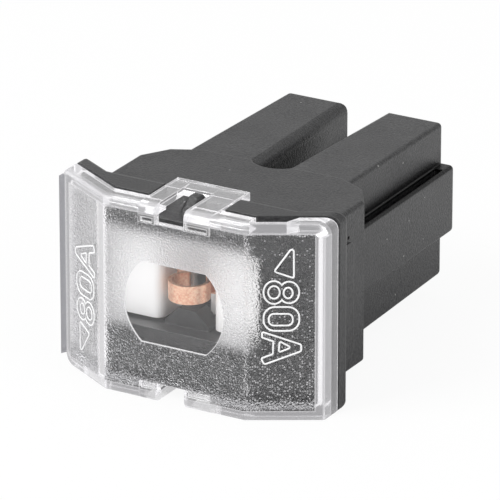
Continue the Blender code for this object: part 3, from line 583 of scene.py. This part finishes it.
# %% [markdown]
# ## Raised outlines on the cover
#
# A rating and a small triangle stand on each wing as thin raised outlines. Each outline is
# a closed path in two numbers, the distance from the fold and the height. A half-round
# ridge is carried along it and laid on the plate, so it follows the wing's angle. A text
# object would be quicker, but no typeface has outlines like these.

# %% Ridges along closed paths
RIDGE_WIDTH = 0.19 * MM
RIDGE_HEIGHT = 0.08 * MM
RIDGE_STEPS = 6
RIDGE_SUNK = 0.3                          # its foot lies this share of its height under


def ridge(path, side):
    """Corners and faces of a half-round ridge along a closed path on one wing.

    path has one row (s, h) for each point. The ridge's section is half an ellipse: at
    angle a from 0 to pi, the offset across the path is width / 2 cos a and the height
    above the plate is ridge height sin a. Its open side lies just under the surface.
    """
    forward = np.roll(path, -1, axis=0) - np.roll(path, 1, axis=0)
    forward /= np.linalg.norm(forward, axis=1)[:, None]
    across = np.stack([forward[:, 1], -forward[:, 0]], axis=1)
    angle = np.append(np.linspace(0.0, pi, RIDGE_STEPS + 1), 1.5 * pi)
    offset = RIDGE_WIDTH / 2 * np.cos(angle)
    proud = RIDGE_HEIGHT * np.sin(angle) * np.where(angle > pi, RIDGE_SUNK, 1.0)
    flat = path[:, None, :] + across[:, None, :] * offset[None, :, None]
    points = on_plate(side * (FOLD + flat[..., 0]), side * flat[..., 1], proud[None, :])
    rows, columns = len(path), len(angle)
    i, j = np.meshgrid(np.arange(rows), np.arange(columns), indexing="ij")
    following, beside = (i + 1) % rows, (j + 1) % columns
    quads = np.stack([i * columns + j, i * columns + beside, following * columns + beside,
                      following * columns + j], axis=-1)
    return points.reshape(-1, 3), quads.reshape(-1, 4)


def mesh_piece(name, parts, material):
    """One object from several (points, faces) parts, smooth shaded, riding on the part."""
    points, faces, start = [], [], 0
    for part_points, part_faces in parts:
        points.append(part_points)
        faces.append(part_faces + start)
        start += len(part_points)
    mesh = bpy.data.meshes.new(name)
    mesh.from_pydata(np.concatenate(points).tolist(), [], np.concatenate(faces).tolist())
    bm = bmesh.new()
    bm.from_mesh(mesh)
    bmesh.ops.recalc_face_normals(bm, faces=bm.faces)
    bm.to_mesh(mesh)
    bm.free()
    mesh.shade_smooth()
    mesh.materials.append(material)
    piece = bpy.data.objects.new(name, mesh)
    bpy.context.scene.collection.objects.link(piece)
    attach(piece, "root")
    print(name, "has", len(mesh.polygons), "faces")


# %% [markdown]
# ## The paths of the marks
#
# Each figure is drawn as the real one is, from straight legs and arcs: a triangle and a
# letter with rounded corners, a nought from two rounded frames, and an eight from ovals.
# The numbers are millimetres on the wing.

# %% Curves that the marks are made of


def rounded(corners, radius, steps=5):
    """A closed path through corners, each turned by an arc.

    The arc touches both legs at radius / tan(half the corner's angle) from the corner.
    """
    corners = np.array(corners, float) * MM
    radii = np.broadcast_to(np.array(radius, float) * MM, len(corners))
    arcs = []
    for corner, before, after, r in zip(corners, np.roll(corners, 1, axis=0),
                                        np.roll(corners, -1, axis=0), radii):
        a = (before - corner) / np.linalg.norm(before - corner)
        b = (after - corner) / np.linalg.norm(after - corner)
        half = np.arccos(a @ b) / 2
        centre = corner + (a + b) / np.linalg.norm(a + b) * r / sin(half)
        first = corner + a * r / tan(half) - centre
        last = corner + b * r / tan(half) - centre
        turn = np.arctan2(first[0] * last[1] - first[1] * last[0], first @ last)
        t = np.linspace(0.0, turn, steps + 1)[:, None]
        sideways = np.array([-first[1], first[0]])
        arcs.append(centre + first * np.cos(t) + sideways * np.sin(t))
    return np.concatenate(arcs)


def oval(centre, radii, steps=28):
    """A closed ellipse: s = centre + radius cos t, h = centre + radius sin t."""
    t = np.linspace(0.0, 2 * pi, steps, endpoint=False)
    return np.stack([centre[0] + radii[0] * np.cos(t), centre[1] + radii[1] * np.sin(t)],
                    axis=1) * MM


def eight(left, right, waist, steps=16):
    """Outline of an 8 lying on its side: two arcs that meet at the waist.

    Each lobe is an ellipse (centre s, centre h, radius s, radius h). Its arc runs from
    where it crosses the waist's distance, round the outside and back.
    """
    outline = []
    for (s, h, rs, rh), start in ((left, 0.0), (right, pi)):
        open_angle = np.arccos(abs(waist - s) / rs)
        t = np.linspace(open_angle, 2 * pi - open_angle, steps) + start
        outline.append(np.stack([s + rs * np.cos(t), h + rh * np.sin(t)], axis=1))
    return np.concatenate(outline) * MM


# %% Rating marks on both wings
TRIANGLE = rounded([(4.85, 8.15), (2.95, 5.45), (4.88, 4.75)], (0.2, 0.18, 0.14))
EIGHT = [eight((2.95, 3.27, 1.02, 1.2), (4.42, 3.27, 0.98, 1.14), 3.66),
         oval((2.95, 3.28), (0.56, 0.66)), oval((4.32, 3.22), (0.44, 0.56))]
ZERO = [rounded([(1.95, 1.75), (1.95, -0.75), (5.41, -0.75), (5.41, 1.75)], 1.1, 8),
        rounded([(2.45, 1.03), (2.45, -0.19), (4.77, -0.19), (4.77, 1.03)], 0.5, 6)]
LETTER = [rounded([(1.8, -0.85), (5.6, -2.2), (5.6, -2.9), (2.0, -4.3), (1.7, -3.65),
                   (2.85, -3.2), (2.9, -1.85), (1.8, -1.45)],
                  (0.14, 0.24, 0.24, 0.22, 0.2, 0.14, 0.14, 0.12)),
          rounded([(3.5, -1.85), (3.42, -3.02), (4.65, -2.5)], (0.12, 0.12, 0.14))]
MARKS = [TRIANGLE] + EIGHT + ZERO + LETTER

EDGE_GREY, WHITE = (0.6, 0.6, 0.61), (1.0, 1.0, 1.0)

raised_edge, tree, shader = new_material("raised_clear_edge", colour=(0.95, 0.955, 0.96),
                                         roughness=0.3)
grain = place_group(tree, grain_group, Grain_Size=0.9, Speck_Size=0.4, Speck_Share=0.1)
tree.links.new(mix(tree, grain.outputs["Height"], EDGE_GREY, WHITE), shader.inputs["Base Color"])
mesh_piece("rating_marks", [ridge(path, side) for path in MARKS for side in (1, -1)],
           raised_edge)

# %% [markdown]
# ## Table and room
#
# The object stands on a white table in a white room. The floor and the room are shown
# white to the camera and through the clear cover, while the light that they throw on the
# object stays at a plain level. So the floor still keeps the object's shadow.

# %% White table
TABLE_REACH = 2.0
TABLE_SHOWN, TABLE_THROUGH = 0.92, 0.5    # how much of it is plain white to each ray

floor_material, tree, shader = new_material("white_table", colour=(0.8, 0.8, 0.8), roughness=0.6)
rays = add(tree, "LightPath")
shown = maths(tree, "MAXIMUM", maths(tree, "MULTIPLY", rays.outputs["Is Camera Ray"], TABLE_SHOWN),
              maths(tree, "MULTIPLY", rays.outputs["Is Transmission Ray"], TABLE_THROUGH))
white = add(tree, "Emission")
white.inputs["Color"].default_value = (*WHITE, 1.0)
mixed = add(tree, "MixShader")
tree.links.new(shown, mixed.inputs[0])
tree.links.new(shader.outputs[0], mixed.inputs[1])
tree.links.new(white.outputs[0], mixed.inputs[2])
tree.links.new(mixed.outputs[0], tree.nodes["Material Output"].inputs[0])
mesh = bpy.data.meshes.new("table")
mesh.from_pydata([(-TABLE_REACH, -TABLE_REACH, 0), (TABLE_REACH, -TABLE_REACH, 0),
                  (TABLE_REACH, TABLE_REACH, 0), (-TABLE_REACH, TABLE_REACH, 0)], [],
                 [(0, 1, 2, 3)])
mesh.materials.append(floor_material)
table = bpy.data.objects.new("table", mesh)
bpy.context.scene.collection.objects.link(table)
print("table of", 2 * TABLE_REACH, "m")

# %% White room
ROOM_LIGHT = 0.7
world = bpy.data.worlds.new("white_room")
bpy.context.scene.world = world
world.use_nodes = True
tree = world.node_tree
background = tree.nodes["Background"]
background.inputs["Color"].default_value = (*WHITE, 1.0)
rays = add(tree, "LightPath")
seen = maths(tree, "MAXIMUM", rays.outputs["Is Camera Ray"], rays.outputs["Is Transmission Ray"])
tree.links.new(maths(tree, "MULTIPLY_ADD", seen, 1.0 - ROOM_LIGHT, ROOM_LIGHT),
               background.inputs["Strength"])
print("room light", ROOM_LIGHT)

# %% [markdown]
# ## Lamps
#
# The photograph has one soft highlight from the upper left and a weaker one on the right
# side. Two square area lamps give them, and their size keeps the shadows soft. A picture
# of a studio could light the object as well, but lamps can be set one by one.

# %% Soft lamps


def soft_lamp(name, place, aim, size, power):
    """A square area lamp that faces a point."""
    lamp = bpy.data.lights.new(name, "AREA")
    lamp.size = size
    lamp.energy = power
    holder = bpy.data.objects.new(name, lamp)
    bpy.context.scene.collection.objects.link(holder)
    holder.location = place
    facing = (Vector(aim) - Vector(place)).to_track_quat("-Z", "Y")
    holder.rotation_euler = facing.to_euler()
    print("lamp", name, power, "W")


middle = (0.0, 0.0, COVER_MIDDLE_Z)
soft_lamp("key", place=(-0.25, -0.35, 0.45), aim=middle, size=0.3, power=2.7)
soft_lamp("side", place=(0.5, -0.05, 0.25), aim=middle, size=0.3, power=0.9)

# %% [markdown]
# ## Camera
#
# The camera's angle, distance and focal length were fitted to the straight edges in the
# photograph. Its place is measured from the middle of the cover's front.

# %% Camera at the photograph's angle
AZIMUTH, ELEVATION = radians(29.79), radians(22.01)
FOCAL_PIXELS, IMAGE_PIXELS = 6145.0, 500.0
DISTANCE, RIGHTWARD, UPWARD = 598.96 * MM, 7.486 * MM, 5.675 * MM
SENSOR = 36.0
NEAREST, FARTHEST = 0.01, 10.0            # what the camera shows, in metres

right = Vector((cos(AZIMUTH), sin(AZIMUTH), 0.0))
back = Vector((sin(AZIMUTH) * cos(ELEVATION), -cos(AZIMUTH) * cos(ELEVATION), sin(ELEVATION)))
up = back.cross(right)
camera_data = bpy.data.cameras.new("camera")
camera_data.sensor_width = SENSOR
camera_data.lens = SENSOR * FOCAL_PIXELS / IMAGE_PIXELS
camera_data.clip_start, camera_data.clip_end = NEAREST, FARTHEST
camera = bpy.data.objects.new("camera", camera_data)
bpy.context.scene.collection.objects.link(camera)
start = Vector((0.0, PLATE_Y, COVER_MIDDLE_Z))
place = Matrix.Translation(start + right * RIGHTWARD + up * UPWARD + back * DISTANCE)
camera.matrix_world = place @ Matrix((right, up, back)).transposed().to_4x4()
bpy.context.scene.camera = camera
bpy.context.scene.view_settings.view_transform = "Standard"
print("lens", round(camera_data.lens, 1), "mm")
